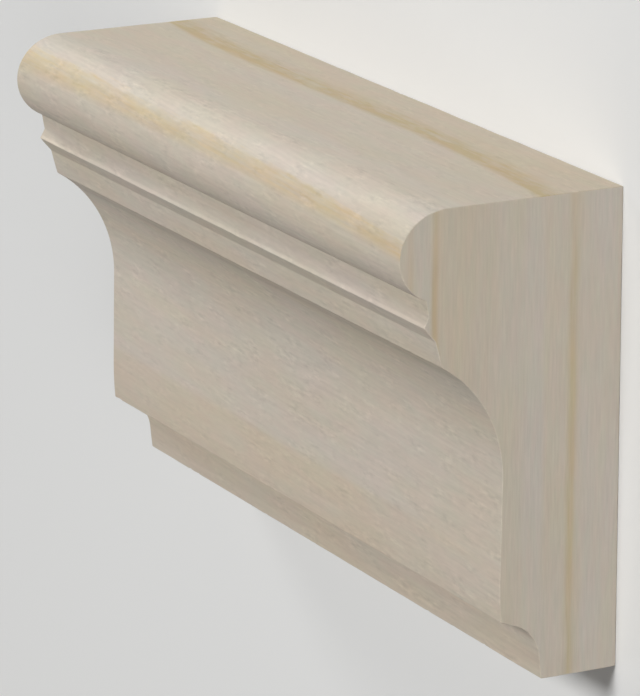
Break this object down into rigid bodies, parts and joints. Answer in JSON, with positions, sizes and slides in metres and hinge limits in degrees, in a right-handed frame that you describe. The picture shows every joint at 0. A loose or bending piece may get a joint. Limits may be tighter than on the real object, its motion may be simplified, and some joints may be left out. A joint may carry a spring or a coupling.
{
  "type": "cornice moulding",
  "caption": "Solid timber cornice moulding with a rounded nose, a small bead, a deep cove and a stepped foot, cut square at both ends.",
  "frame": {"origin": "centre of the flat back, halfway along the length and halfway up the height", "axes": "+X along the length and the grain, +Y from the moulding's bottom edge to its top edge, +Z out from the back to the nose"},
  "size_m": [0.2, 0.11, 0.055],
  "materials": {
    "wood": "planed and sanded pale softwood, bare"
  },
  "bodies": {
    "root": {"cornice_moulding": "wood"}
  },
  "joints": []
}
